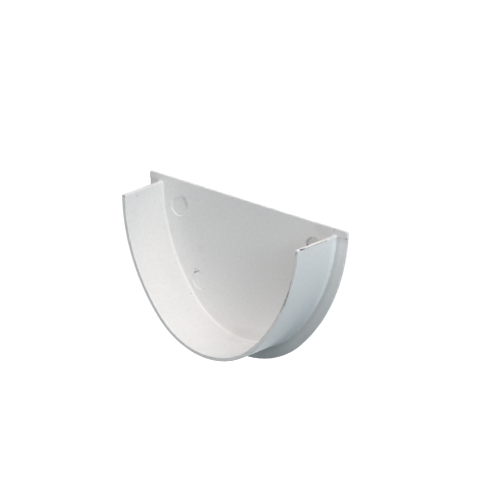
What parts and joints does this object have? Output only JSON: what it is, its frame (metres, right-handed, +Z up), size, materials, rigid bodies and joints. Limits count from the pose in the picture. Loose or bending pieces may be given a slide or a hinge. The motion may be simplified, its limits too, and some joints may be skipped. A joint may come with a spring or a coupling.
{
  "type": "gutter end cap",
  "caption": "White moulded end cap for a deep half-round gutter: a flat plate with a straight top and a U-shaped collar that takes the gutter's end.",
  "frame": {"origin": "on the plate's inner face, where the gutter's cut end butts, midway between the collar's two top ends", "axes": "+X along the plate's straight top edge, -Y out of the collar along the gutter, +Z up towards the gutter's open side"},
  "size_m": [0.1348, 0.0317, 0.087],
  "materials": {
    "white_pvc": "smooth moulded rigid PVC with a soft gloss"
  },
  "bodies": {
    "root": {"end_cap": "white_pvc"}
  },
  "joints": []
}
